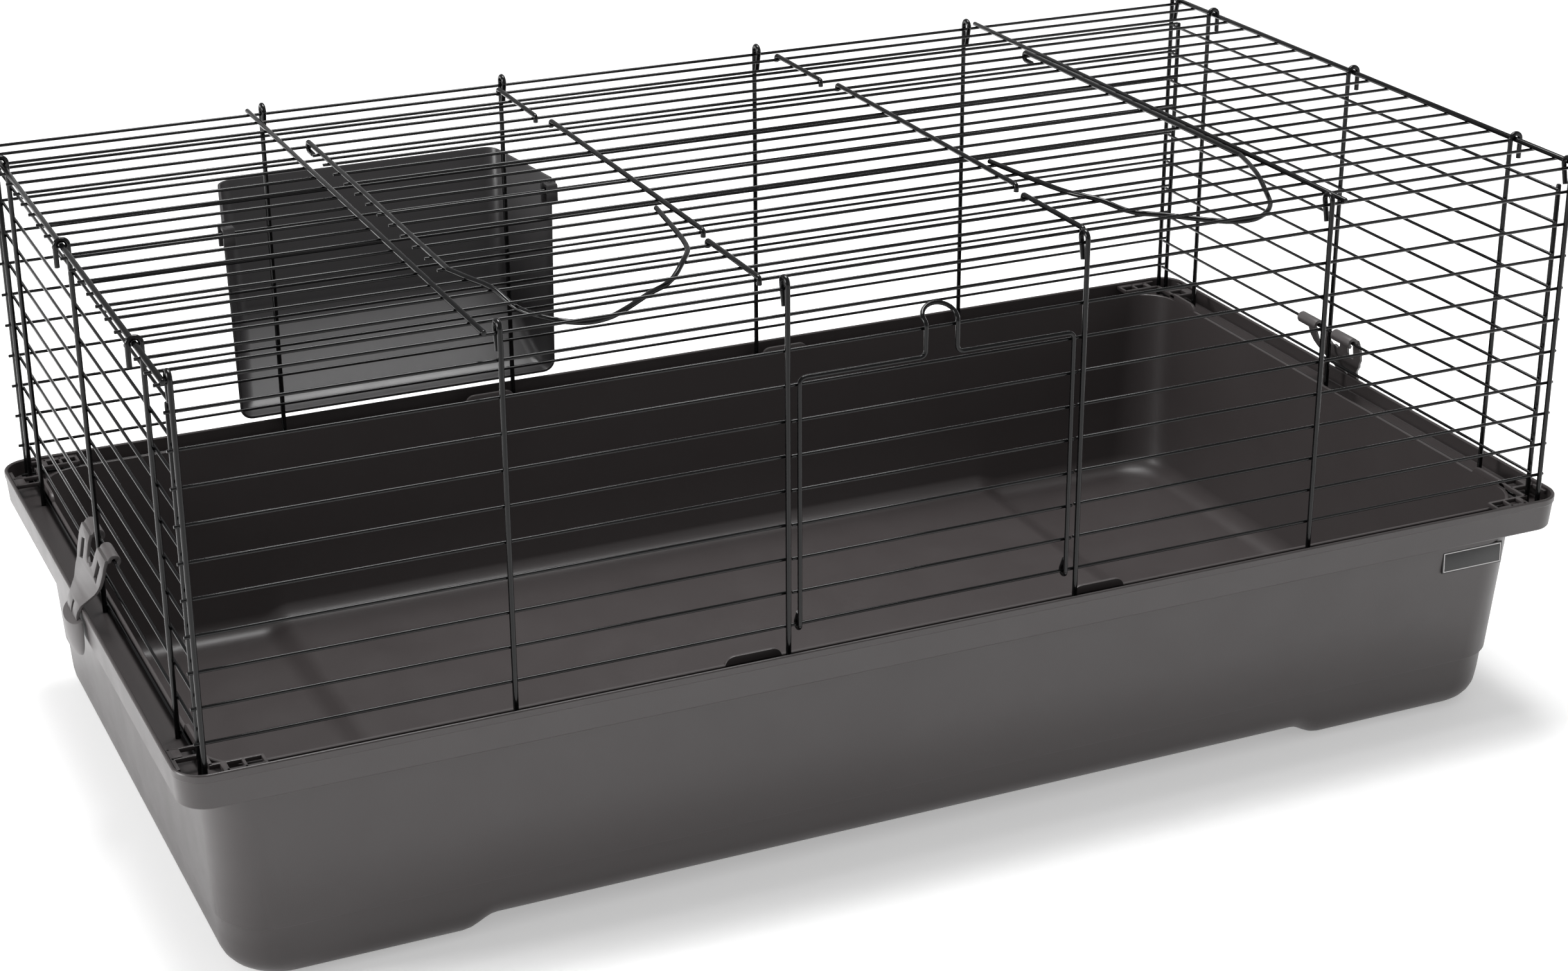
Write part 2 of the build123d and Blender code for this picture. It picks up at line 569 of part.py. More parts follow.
def end_clip(side):
    """A clip with two rolled lobes on the end rail, a waist over the rim and a thumb pad under the skirt."""
    rail = rail_z(CLIP_RAIL)
    roll_in = RAIL_R + CLIP_GAP
    roll_out = roll_in + CLIP_WALL
    outer_x = HALF_LENGTH - END_RAIL_X + CLIP_GAP
    bottom = -SKIRT_HEIGHT - CLIP_CATCH_GAP - rail
    pad_z = -CLIP_PAD_DROP - rail
    lift = END_PANEL_X + UP_R + CLIP_GAP - END_RAIL_X
    # Section seen along the rail: u is outward from the rail, v is up from it.
    inner = [(0, roll_in), (lift, roll_in - 2.0), (lift + 2.0, -18.0), (outer_x, -rail + 2.0), (outer_x, bottom)]
    plate = make_face(Polyline(
        (0, roll_out), (lift + CLIP_WALL, roll_out - 1.0), (lift + 2.0 + CLIP_WALL, -17.0),
        (outer_x + CLIP_WALL, -rail + 3.0), (outer_x + CLIP_WALL, bottom - CLIP_WALL),
        (outer_x - CLIP_CATCH, bottom - CLIP_WALL), (outer_x - CLIP_CATCH, bottom), (outer_x, bottom),
        (outer_x, -rail + 2.0), (lift + 2.0, -18.0), (lift, roll_in - 2.0), (0, roll_in), close=True))
    section = Plane(origin=(0, 0, 0), x_dir=(1, 0, 0), z_dir=(0, -1, 0))
    sheet = extrude(section * plate, CLIP_SPAN / 2, both=True)
    # Outline seen from outside: two lobes, a waist and a pad.
    half_span = CLIP_SPAN / 2
    half_waist = CLIP_WAIST / 2
    notch = half_span - CLIP_LOBE_WIDTH
    outline = make_face(Polyline(
        (-half_waist, pad_z - 20), (-half_waist, -32), (-half_span, -16), (-half_span, 20), (-notch, 20),
        (-notch, -6), (-4.5, -15), (4.5, -15), (notch, -6), (notch, 20), (half_span, 20),
        (half_span, -16), (half_waist, -32), (half_waist, pad_z - 20), close=True))
    face = Plane(origin=(-40, 0, 0), x_dir=(0, 1, 0), z_dir=(1, 0, 0))
    clip = sheet & extrude(face * outline, 100)
    for sign in (-1, 1):
        y = sign * (notch + CLIP_LOBE_WIDTH / 2)
        roll = Cylinder(roll_out, CLIP_LOBE_WIDTH, rotation=(90, 0, 0))
        clip += Pos(0, y, 0) * (roll - Pos(outer_x + 0.6, 0, -20) * Box(2 * outer_x, 100, 40))
        clip -= Pos(0, y, 0) * Cylinder(roll_in, CLIP_LOBE_WIDTH * 2, rotation=(90, 0, 0))
        clip -= Pos(lift, y, -8) * Box(4 * CLIP_WALL + 4, CLIP_LOBE_WIDTH * 0.42, 14)
    clip += clip_pad(outer_x, bottom, pad_z)
    place_it = Pos(side * END_RAIL_X, END_HOOK_SHIFT, rail)
    if side < 0:
        return place_it * Rot(0, 0, 180) * clip
    return place_it * clip


def clip_pad(outer_x, bottom, pad_z):
    """The thumb pad: a crowned tongue with a round lower end, in front of the skirt."""
    height = CLIP_PAD - 6.0
    front = Plane(origin=(outer_x, 0, pad_z), x_dir=(0, 1, 0), z_dir=(1, 0, 0))
    half = CLIP_PAD / 2
    outline = Polyline((-half, half), (-half, height), (half, height), (half, half))
    outline += ThreePointArc((half, half), (0, 0), (-half, half))
    block = extrude(front * make_face(outline), CLIP_PAD_BULGE)
    radius = (half * half + CLIP_PAD_BULGE * CLIP_PAD_BULGE) / (2 * CLIP_PAD_BULGE)
    crown = Pos(outer_x + CLIP_PAD_BULGE - radius, 0, pad_z + CLIP_PAD / 2) * Cylinder(radius, 2 * CLIP_PAD)
    return block & crown


# Hay rack

def rack_section(front, rear, depth, z, inset=0.0):
    x = front / 2 - inset
    r = rear / 2 - inset
    y0 = RACK_FACE_Y - (20.0 if inset else 0.0)
    slope = (x - r) / depth
    x0 = x + slope * (RACK_FACE_Y - y0)
    y1 = RACK_FACE_Y + depth - inset
    return Plane.XY.offset(z) * make_face(Polyline((-x0, y0), (x0, y0), (r, y1), (-r, y1), close=True))


def rack_block(inset=0.0):
    """The rack's space, widening upward: a steep lower ramp, then a nearly upright back wall."""
    bottom = RACK_BOTTOM + inset
    top = RACK_TOP + (10.0 if inset else 0.0)
    lower = loft([
        rack_section(RACK_FRONT_WIDTH_LOW, RACK_CREASE_WIDTH - 6, RACK_BOTTOM_DEPTH, bottom, inset),
        rack_section((RACK_FRONT_WIDTH + RACK_FRONT_WIDTH_LOW) / 2, RACK_CREASE_WIDTH, RACK_CREASE_DEPTH,
                     RACK_CREASE, inset)], ruled=True)
    upper = loft([
        rack_section((RACK_FRONT_WIDTH + RACK_FRONT_WIDTH_LOW) / 2, RACK_CREASE_WIDTH, RACK_CREASE_DEPTH,
                     RACK_CREASE, inset),
        rack_section(RACK_FRONT_WIDTH, RACK_TOP_WIDTH, RACK_TOP_DEPTH, top, inset)], ruled=True)
    return lower + upper


def rack_hook(x):
    """A moulded hook over the back panel's rail, with a tongue down inside it."""
    rail = rail_z(RACK_HOOK_RAIL)
    inside = SIDE_RAIL_Y - RAIL_R - WIRE_GAP
    back = RACK_FACE_Y + RACK_WALL
    under = rail + RAIL_R + WIRE_GAP
    top = under + RACK_HOOK_RISE
    tongue_in = inside - RACK_WALL
    low = rail - RACK_HOOK_TONGUE
    profile = make_face(Polyline(
        (tongue_in, low), (tongue_in, under + 2.0), (inside, top), (back, top), (back, low),
        (RACK_FACE_Y, low), (RACK_FACE_Y, under), (inside, under), (inside, low), close=True))
    frame = Plane(origin=(x, 0, 0), x_dir=(0, 1, 0), z_dir=(1, 0, 0))
    return extrude(frame * profile, RACK_HOOK_WIDTH / 2, both=True)


def hay_rack():
    outer = rack_block()
    rear_edges = outer.edges().filter_by(lambda e: (e @ 0.5).Y > RACK_FACE_Y + 5 and abs((e @ 0.5).X) > 60)
    outer = fillet(rear_edges.filter_by(lambda e: abs((e @ 0).Z - (e @ 1).Z) > 5), RACK_CORNER)
    rack = outer - rack_block(RACK_WALL)
    slope = Plane(origin=(0, RACK_FACE_Y, RACK_FRONT_TOP),
                  x_dir=(0, RACK_TOP_DEPTH, RACK_TOP - RACK_FRONT_TOP), z_dir=(1, 0, 0))
    cutter = extrude(slope * Pos(RACK_TOP_DEPTH / 2, 25, 0) * Rectangle(RACK_TOP_DEPTH * 2, 50),
                     RACK_FRONT_WIDTH, both=True)
    rack -= cutter
    for sign in (-1, 1):
        rack += rack_hook(sign * RACK_HOOK_OFFSET)
    return Pos(RACK_CENTRE_X, 0, 0) * rack


# Writing the pieces

def place(shape):
    return Pos(0, FOOTPRINT_SHIFT, TUB_HEIGHT) * shape


def write(name, solids):
    if not isinstance(solids, list):
        solids = [solids]
    moved = []
    for piece in solids:
        moved.extend(place(piece).solids())
    shape = moved[0] if len(moved) == 1 else Compound(children=moved)
    export_step(shape, f"parts/{name}.step")
    print(name, len(moved), round(sum(s.volume for s in moved)))


os.makedirs("parts", exist_ok=True)
write("tub", tub())
write("front_uprights", side_uprights(-1))
write("back_uprights", side_uprights(1))
write("left_end_uprights", end_uprights(-1))
write("right_end_uprights", end_uprights(1))
write("front_rails", front_rails())
write("front_short_rails", front_short_rails())
write("back_rails", back_rails())
write("left_end_rails", end_rails(-1))
write("right_end_rails", end_rails(1))
write("roof_long_wires", roof_long_wires())
write("roof_short_wires", roof_short_wires())
write("roof_cross_wires", roof_cross_wires())
write("roof_edge_wires", roof_edge_wires())
write("roof_stub_wires", roof_stub_wires())
write("top_door_side_wires", top_door_side_wires())
write("top_door_latch_springs", [latch_spring(sign) for sign in (-1, 1)])
write("top_door_bars", top_door_bars())
write("top_door_cross_wires", top_door_cross_wires())
write("front_door_frame", front_door_frame())
write("front_door_bars", front_door_bars())
write("left_clip", end_clip(-1))
write("right_clip", end_clip(1))
write("hay_rack", hay_rack())
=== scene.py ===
import bpy
from math import radians, pi, sin, cos, atan2
from mathutils import Vector, Matrix


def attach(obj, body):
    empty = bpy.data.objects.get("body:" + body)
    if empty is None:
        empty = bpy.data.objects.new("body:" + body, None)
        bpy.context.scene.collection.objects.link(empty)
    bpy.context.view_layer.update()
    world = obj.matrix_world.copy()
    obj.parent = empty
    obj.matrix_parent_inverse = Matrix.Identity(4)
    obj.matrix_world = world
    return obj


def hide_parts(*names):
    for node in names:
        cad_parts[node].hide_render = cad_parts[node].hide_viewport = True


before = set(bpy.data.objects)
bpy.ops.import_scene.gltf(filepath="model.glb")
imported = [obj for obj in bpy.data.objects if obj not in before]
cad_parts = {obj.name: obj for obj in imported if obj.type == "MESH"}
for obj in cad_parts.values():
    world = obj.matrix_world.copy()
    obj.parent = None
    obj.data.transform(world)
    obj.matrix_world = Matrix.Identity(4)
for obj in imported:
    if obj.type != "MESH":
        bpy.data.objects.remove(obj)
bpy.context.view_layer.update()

# Guinea pig cage. Lengths below are in millimetres about the tub's own centre,
# with z = 0 at the top of the tub's rim; spot() turns them into the frame's metres.
TUB_HEIGHT = 166.0
RIM_HALF_WIDTH = 268.0
SIDE_PANEL_Y = 258.4
END_PANEL_X = 482.0
UPRIGHT = 1.75
RAIL = 1.1
CROSS = 1.75
EDGE = 1.9
DOOR = 1.5
WELD = 0.3
STUB = 3.0
SIDE_RAIL_Y = SIDE_PANEL_Y - UPRIGHT - RAIL + WELD
END_RAIL_X = END_PANEL_X - UPRIGHT - RAIL + WELD
RACK_FACE_Y = SIDE_PANEL_Y + UPRIGHT + 0.3
RACK_DEPTH = 83.0
SHIFT_Y = (RIM_HALF_WIDTH - RACK_FACE_Y - RACK_DEPTH) / 2
DOOR_BAY = 104.3
OUTER_BAY = 288.1
ROOF_Z = 241.2
ROOF_EDGE_X = END_PANEL_X + UPRIGHT + EDGE + 0.4
ROOF_OUTER_Y = SIDE_PANEL_Y - UPRIGHT - RAIL - 0.3
ROOF_HALF_X = ROOF_EDGE_X + EDGE + STUB
EDGE_Z = ROOF_Z + RAIL + EDGE - WELD
CROSS_Z = ROOF_Z + RAIL + CROSS - WELD
TOP_DOOR_Z = ROOF_Z + RAIL + CROSS + 0.3
TOP_BAR_Z = TOP_DOOR_Z - CROSS - RAIL + WELD
TOP_DOOR_HALF = 285.6
TOP_DOOR_SHIFT = 5.0
CROSS_X = 298.0
STUB_X = 113.5
CHANNEL_Z = -12.0
FRONT_DOOR_Y = SIDE_RAIL_Y + RAIL + DOOR + 0.3
FRONT_BAR_Y = FRONT_DOOR_Y - DOOR - RAIL + WELD
FRONT_DOOR_HALF = 96.5
HOOK = 4.2
WIRE_SIDES = 14
MIDDLE_UPRIGHT_Y = 5.5
END_UPRIGHT_PITCH = 196.75


def spot(x, y, z):
    return Vector((x / 1000, (y + SHIFT_Y) / 1000, (z + TUB_HEIGHT) / 1000))


def rail_z(k):
    return 224.4 - 23.26 * k


def roof_y(i):
    if i == 0:
        return ROOF_OUTER_Y
    if i == 21:
        return -ROOF_OUTER_Y
    return 24.61 * (10.5 - i)


# Wires

def deselect():
    bpy.ops.object.select_all(action="DESELECT")


def straight_wire(start, end, radius):
    """A round wire between two places, with softly rounded ends."""
    a = spot(*start)
    b = spot(*end)
    run = b - a
    deselect()
    bpy.ops.mesh.primitive_cylinder_add(vertices=WIRE_SIDES, radius=radius / 1000, depth=run.length,
                                        location=(a + b) / 2, rotation=run.to_track_quat("Z", "Y").to_euler())
    wire = bpy.context.object
    bpy.ops.object.mode_set(mode="EDIT")
    bpy.ops.mesh.select_all(action="DESELECT")
    bpy.ops.object.mode_set(mode="OBJECT")
    for face in wire.data.polygons:
        face.select = len(face.vertices) > 4
    for edge in wire.data.edges:
        edge.select = False
    bpy.ops.object.mode_set(mode="EDIT")
    bpy.ops.mesh.select_mode(type="FACE")
    bpy.ops.mesh.bevel(offset=radius * 0.4 / 1000, segments=2)
    bpy.ops.object.mode_set(mode="OBJECT")
    return wire


def bent_wire(points, radius, bend):
    """A round wire along straight runs joined by round bends."""
    places = [spot(*p) for p in points]
    route = [places[0]]
    for before, here, after in zip(places, places[1:], places[2:]):
        back = (before - here).normalized()
        on = (after - here).normalized()
        turn = pi - back.angle(on)
        reach = min(bend / 1000 * abs(sin(turn / 2) / max(cos(turn / 2), 0.05)),
                    (before - here).length * 0.48, (after - here).length * 0.48)
        steps = max(3, int(turn / radians(7)))
        first = here + back * reach
        last = here + on * reach
        for n in range(steps + 1):
            t = n / steps
            route.append(first * (1 - t) ** 2 + here * 2 * t * (1 - t) + last * t * t)
    route.append(places[-1])
    return wire_on_route(route, radius)


def wire_on_route(route, radius):
    curve = bpy.data.curves.new("wire", "CURVE")
    curve.dimensions = "3D"
    curve.bevel_depth = radius / 1000
    curve.bevel_resolution = 5
    curve.use_fill_caps = True
    line = curve.splines.new("POLY")
    line.points.add(len(route) - 1)
    for point, place in zip(line.points, route):
        point.co = (place[0], place[1], place[2], 1)
    wire = bpy.data.objects.new("wire", curve)
    bpy.context.collection.objects.link(wire)
    deselect()
    wire.select_set(True)
    bpy.context.view_layer.objects.active = wire
    bpy.ops.object.convert(target="MESH")
    return bpy.context.object


def arc(centre, start_angle, turn, radius, to_place, steps=14):
    """Places along an arc in a plane that to_place() sets out."""
    out = []
    for n in range(steps + 1):
        angle = start_angle + turn * n / steps
        out.append(spot(*to_place(centre[0] + radius * cos(angle), centre[1] + radius * sin(angle))))
    return out


def finish_wires(name, wires, body, node, material):
    deselect()
    for wire in wires:
        wire.select_set(True)
    bpy.context.view_layer.objects.active = wires[0]
    if len(wires) > 1:
        bpy.ops.object.join()
    piece = bpy.context.object
    dress(piece, name, body, [node], material)
    return piece


def dress(piece, name, body, nodes, material, angle=35):
    """Names a finished piece, puts its object at the origin, hides the CAD parts of its nodes and ties it to its
    body.
    """
    piece.name = name.replace(" ", "_")
    deselect()
    piece.select_set(True)
    bpy.context.view_layer.objects.active = piece
    bpy.ops.object.transform_apply(location=True, rotation=True, scale=True)
    bpy.ops.object.shade_smooth_by_angle(angle=radians(angle))
    piece.data.materials.clear()
    piece.data.materials.append(material)
    if nodes:
        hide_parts(*nodes)
    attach(piece, body)


def join_pieces(parts):
    """Joins the parts into the first of them."""
    deselect()
    for part in parts:
        part.select_set(True)
    bpy.context.view_layer.objects.active = parts[0]
    bpy.ops.object.join()
    return bpy.context.object


def give_wall(piece, thickness, even=False):
    """Gives an open skin its wall, inwards."""
    wall = piece.modifiers.new("wall", "SOLIDIFY")
    wall.thickness = thickness
    wall.offset = -1.0
    wall.use_even_offset = even
    bpy.ops.object.modifier_apply(modifier="wall")


def soften_edges(piece, width, segments, angle):
    edge = piece.modifiers.new("soft edge", "BEVEL")
    edge.width = width
    edge.segments = segments
    edge.limit_method = "ANGLE"
    edge.angle_limit = radians(angle)
    bpy.ops.object.modifier_apply(modifier="soft edge")


# Materials

def new_material(name, colour, roughness):
    material = bpy.data.materials.new(name)
    material.use_nodes = True
    nodes = material.node_tree.nodes
    shader = nodes["Principled BSDF"]
    shader.inputs["Base Color"].default_value = (*colour, 1)
    shader.inputs["Roughness"].default_value = roughness
    return material, nodes, material.node_tree.links, shader


def moulded_plastic(name, light, dark, roughness, grain, depth, coat=0.0):
    """Moulded plastic: slow colour drift, fine spark-eroded grain and faint rubbed patches."""
    material, nodes, links, shader = new_material(name, light, roughness)
    coordinates = nodes.new("ShaderNodeTexCoord")
    drift = nodes.new("ShaderNodeTexNoise")
    drift.inputs["Scale"].default_value = 5.0
    drift.inputs["Detail"].default_value = 3.0
    mix = nodes.new("ShaderNodeMix")
    mix.data_type = "RGBA"
    mix.inputs[6].default_value = (*dark, 1)
    mix.inputs[7].default_value = (*light, 1)
    rubbed = nodes.new("ShaderNodeTexNoise")
    rubbed.inputs["Scale"].default_value = 30.0
    spread = nodes.new("ShaderNodeMapRange")
    spread.inputs["To Min"].default_value = roughness - 0.07
    spread.inputs["To Max"].default_value = roughness + 0.07
    fine = nodes.new("ShaderNodeTexNoise")
    fine.inputs["Scale"].default_value = grain
    fine.inputs["Detail"].default_value = 2.0
    bump = nodes.new("ShaderNodeBump")
    bump.inputs["Strength"].default_value = depth
    bump.inputs["Distance"].default_value = 0.0003
    links.new(coordinates.outputs["Object"], drift.inputs["Vector"])
    links.new(coordinates.outputs["Object"], rubbed.inputs["Vector"])
    links.new(coordinates.outputs["Object"], fine.inputs["Vector"])
    links.new(drift.outputs["Fac"], mix.inputs[0])
    links.new(mix.outputs[2], shader.inputs["Base Color"])
    links.new(rubbed.outputs["Fac"], spread.inputs["Value"])
    links.new(spread.outputs["Result"], shader.inputs["Roughness"])
    links.new(fine.outputs["Fac"], bump.inputs["Height"])
    links.new(bump.outputs["Normal"], shader.inputs["Normal"])
    shader.inputs["Coat Weight"].default_value = coat
    shader.inputs["Coat Roughness"].default_value = 0.25
    return material


def lacquered_wire():
    """Black lacquered steel wire: glossy, with the lacquer's slight waviness."""
    material, nodes, links, shader = new_material("black lacquered wire", (0.003, 0.003, 0.0032), 0.24)
    coordinates = nodes.new("ShaderNodeTexCoord")
    wave = nodes.new("ShaderNodeTexNoise")
    wave.inputs["Scale"].default_value = 160.0
    wave.inputs["Detail"].default_value = 2.0
    spread = nodes.new("ShaderNodeMapRange")
    spread.inputs["To Min"].default_value = 0.1
    spread.inputs["To Max"].default_value = 0.2
    bump = nodes.new("ShaderNodeBump")
    bump.inputs["Strength"].default_value = 0.12
    bump.inputs["Distance"].default_value = 0.0002
    links.new(coordinates.outputs["Object"], wave.inputs["Vector"])
    links.new(wave.outputs["Fac"], spread.inputs["Value"])
    links.new(spread.outputs["Result"], shader.inputs["Roughness"])
    links.new(wave.outputs["Fac"], bump.inputs["Height"])
    links.new(bump.outputs["Normal"], shader.inputs["Normal"])
    shader.inputs["Specular IOR Level"].default_value = 0.3
    return material


# Wire panels

def side_uprights(name, node, side, material):
    """Uprights of the front (side -1) or back (side 1) panel, hooked over the roof's outermost wire."""
    top = EDGE_Z + HOOK + UPRIGHT
    centre_z = top - UPRIGHT - HOOK
    wires = []
    for x in (-END_PANEL_X, -OUTER_BAY, -DOOR_BAY, DOOR_BAY, OUTER_BAY, END_PANEL_X):
        place = lambda u, v, x=x: (x, side * (SIDE_PANEL_Y - u), v)
        route = [spot(x, side * SIDE_PANEL_Y, CHANNEL_Z)]
        route += arc((HOOK, centre_z), pi, -radians(193.6), HOOK, place, 16)
        angle = pi - radians(193.6)
        end_u = HOOK + HOOK * cos(angle) - 14.0 * sin(radians(13.6))
        end_v = centre_z + HOOK * sin(angle) - 14.0 * cos(radians(13.6))
        route.append(spot(*place(end_u, end_v)))
        wires.append(wire_on_route(route, UPRIGHT))
    return finish_wires(name, wires, "cage", node, material)


def end_uprights(name, node, side, material):
    wires = []
    radius = ROOF_EDGE_X - END_PANEL_X
    for step in (-1, 0, 1):
        y = MIDDLE_UPRIGHT_Y + step * END_UPRIGHT_PITCH
        place = lambda u, v, y=y: (side * (END_PANEL_X + u), y, v)
        route = [spot(side * END_PANEL_X, y, CHANNEL_Z)]
        route += arc((radius, EDGE_Z), pi, -pi, radius, place, 14)
        route.append(spot(side * (END_PANEL_X + 2 * radius), y, EDGE_Z - 14.0))
        wires.append(wire_on_route(route, UPRIGHT))
    for sign in (-1, 1):
        y = sign * (SIDE_PANEL_Y - 11.4)
        wires.append(straight_wire((side * END_PANEL_X, y, CHANNEL_Z),
                                   (side * END_PANEL_X, y, rail_z(0) + STUB), UPRIGHT))
    return finish_wires(name, wires, "cage", node, material)


def turned_down_wire(x, y0, y1, z):
    low = z - CROSS - 3.0
    return bent_wire([(x, y0, low), (x, y0, z), (x, y1, z), (x, y1, low)], CROSS, CROSS + 0.6)


def past(i, beyond):
    """Where a turned-down end clears roof wire i."""
    return roof_y(i) + beyond * (RAIL + CROSS + 0.3)


def make_wire_top(material):
    side_uprights("front uprights", "front_uprights", -1, material)
    side_uprights("back uprights", "back_uprights", 1, material)
    end_uprights("left end uprights", "left_end_uprights", -1, material)
    end_uprights("right end uprights", "right_end_uprights", 1, material)
    half = END_PANEL_X + UPRIGHT + STUB
    front = [straight_wire((-half, -SIDE_RAIL_Y, rail_z(k)), (half, -SIDE_RAIL_Y, rail_z(k)), RAIL)
             for k in (0, 1, 2, 9, 10)]
    finish_wires("front rails", front, "cage", "front_rails", material)
    cut = DOOR_BAY - UPRIGHT
    short = []
    for k in range(3, 9):
        short.append(straight_wire((-half, -SIDE_RAIL_Y, rail_z(k)), (-cut, -SIDE_RAIL_Y, rail_z(k)), RAIL))
        short.append(straight_wire((cut, -SIDE_RAIL_Y, rail_z(k)), (half, -SIDE_RAIL_Y, rail_z(k)), RAIL))
    finish_wires("front short rails", short, "cage", "front_short_rails", material)
    back = [straight_wire((-half, SIDE_RAIL_Y, rail_z(k)), (half, SIDE_RAIL_Y, rail_z(k)), RAIL)
            for k in range(11)]
    finish_wires("back rails", back, "cage", "back_rails", material)
    reach = SIDE_PANEL_Y - 11.4 + STUB
    for side, word in ((-1, "left"), (1, "right")):
        x = side * END_RAIL_X
        rails = [straight_wire((x, -reach, rail_z(k)), (x, reach, rail_z(k)), RAIL) for k in range(11)]
        finish_wires(word + " end rails", rails, "cage", word + "_end_rails", material)
    long_wires = [straight_wire((-ROOF_HALF_X, roof_y(i), ROOF_Z), (ROOF_HALF_X, roof_y(i), ROOF_Z), RAIL)
                  for i in (0, 1, 2, 3, 4, 17, 18, 19, 20, 21)]
    finish_wires("roof long wires", long_wires, "cage", "roof_long_wires", material)
    inner = CROSS_X - CROSS
    short = []
    for i in range(5, 17):
        short.append(straight_wire((-ROOF_HALF_X, roof_y(i), ROOF_Z), (-inner, roof_y(i), ROOF_Z), RAIL))
        short.append(straight_wire((inner, roof_y(i), ROOF_Z), (ROOF_HALF_X, roof_y(i), ROOF_Z), RAIL))
    finish_wires("roof short wires", short, "cage", "roof_short_wires", material)
    reach = ROOF_OUTER_Y + RAIL + STUB
    cross = [straight_wire((s * CROSS_X, -reach, CROSS_Z), (s * CROSS_X, reach, CROSS_Z), CROSS)
             for s in (-1, 1)]
    finish_wires("roof cross wires", cross, "cage", "roof_cross_wires", material)
    edge = [straight_wire((s * ROOF_EDGE_X, -reach, EDGE_Z), (s * ROOF_EDGE_X, reach, EDGE_Z), EDGE)
            for s in (-1, 1)]
    finish_wires("roof edge wires", edge, "cage", "roof_edge_wires", material)
    stubs = []
    for s in (-1, 1):
        stubs.append(turned_down_wire(s * STUB_X, past(4, -1), past(1, 1), CROSS_Z))
        stubs.append(turned_down_wire(s * STUB_X, past(20, -1), past(17, 1), CROSS_Z))
    finish_wires("roof stub wires", stubs, "cage", "roof_stub_wires", material)


# Top door

LATCH_ROUTE = [
    (285.6, -143.9, 0.0), (280.0, -163.0, 0.0), (271.5, -188.0, 0.0), (266.5, -207.0, 7.2),
    (257.5, -226.0, 8.0), (246.0, -238.0, 9.2), (232.5, -243.5, 10.2), (217.0, -240.0, 10.4),
    (201.0, -229.5, 9.4), (181.0, -215.0, 7.8), (162.5, -204.0, 7.2), (148.0, -188.5, 0.0),
    (137.0, -171.0, 0.0), (132.5, -150.0, 0.0), (128.5, -124.0, 0.0), (123.0, -83.0, 0.0)]


def make_top_door(material):
    sides = []
    springs = []
    radius = RAIL + CROSS + 0.3
    for s in (-1, 1):
        x = s * TOP_DOOR_HALF + TOP_DOOR_SHIFT
        place = lambda u, v, x=x: (x, u, v)
        route = [spot(x, -143.9, TOP_DOOR_Z)]
        route += arc((roof_y(4), ROOF_Z), pi / 2, -pi, radius, place, 12)
        route.append(spot(x, roof_y(4) - 9.0, ROOF_Z - radius))
        sides.append(wire_on_route(route, CROSS))
        points = [(s * px + TOP_DOOR_SHIFT, py, TOP_DOOR_Z - drop) for px, py, drop in LATCH_ROUTE]
        springs.append(bent_wire(points, CROSS, 60.0))
    finish_wires("top door side wires", sides, "top_door", "top_door_side_wires", material)
    finish_wires("top door latch springs", springs, "top_door", "top_door_latch_springs", material)
    half = TOP_DOOR_HALF + CROSS + STUB
    first = TOP_DOOR_SHIFT - half
    last = TOP_DOOR_SHIFT + half
    bars = [straight_wire((first, roof_y(i), TOP_BAR_Z), (last, roof_y(i), TOP_BAR_Z), RAIL) for i in range(5, 17)]
    finish_wires("top door bars", bars, "top_door", "top_door_bars", material)
    cross = [turned_down_wire(TOP_DOOR_SHIFT + s * STUB_X, past(16, -1), past(5, 1), TOP_DOOR_Z)
             for s in (-1, 1)]
    finish_wires("top door cross wires", cross, "top_door", "top_door_cross_wires", material)


# Front door

def make_front_door(material):
    y = -FRONT_DOOR_Y
    hinge = rail_z(9)
    top = rail_z(2) + 5.2
    over = rail_z(1) + RAIL + DOOR + 0.3
    left = -9.7
    right = 12.5
    middle = (left + right) / 2
    loop = (right - left) / 2
    points = [(-FRONT_DOOR_HALF, y, hinge), (-FRONT_DOOR_HALF, y, top), (left, y, top), (left, y, over + 1.0)]
    for n in range(13):
        angle = pi - pi * n / 12
        along = 4.4 + loop * sin(angle)
        points.append((middle + loop * 1.04 * cos(angle), y + 0.76 * along, over + 1.0 + 0.56 * along))
    points += [(right, y, over + 1.0), (right, y, top), (FRONT_DOOR_HALF, y, top),
               (FRONT_DOOR_HALF, y, hinge)]
    wires = [bent_wire(points, DOOR, 5.0)]
    radius = FRONT_DOOR_Y - SIDE_RAIL_Y
    for s in (-1, 1):
        x = s * FRONT_DOOR_HALF
        place = lambda u, v, x=x: (x, u, v)
        turn = radians(205)
        route = arc((-SIDE_RAIL_Y, hinge), pi, turn, radius, place, 14)
        angle = pi + turn
        end_u = -SIDE_RAIL_Y + radius * cos(angle) - 8.0 * sin(angle)
        end_v = hinge + radius * sin(angle) + 8.0 * cos(angle)
        route.append(spot(*place(end_u, end_v)))
        wires.append(wire_on_route(route, DOOR))
    finish_wires("front door frame", wires, "front_door", "front_door_frame", material)
    half = FRONT_DOOR_HALF + DOOR + STUB
    bars = [straight_wire((-half, -FRONT_BAR_Y, rail_z(k) - 0.3), (half, -FRONT_BAR_Y, rail_z(k) - 0.3), RAIL)
            for k in range(3, 9)]
    finish_wires("front door bars", bars, "front_door", "front_door_bars", material)


# Tub

BODY_TOP = (480.2, 254.6)
BODY_DRAFT = 7.5
RIB_IN = (475.6, 250.0)
STEP_Z = -125.0
STEP_INSET = 1.5
INNER_FLOOR_Z = -163.2
INNER_ROUND = 15.2
OUTER_ROUND = 18.0
ROUND_START_Z = -148.0
QUARTER_STEPS = 6
CORNER_SEGMENTS = 12
ARCH_LIFT = 8.0
ARCH_END_X = 322.0
ARCH_RISE = 22.0
ARCH_CUTS = (0.0, 150.0, 299.0, 303.6, 308.2, 312.8, 317.4, 323.0)
TONGUE_WIDTH = 40.0
TONGUE_THICK = 2.4


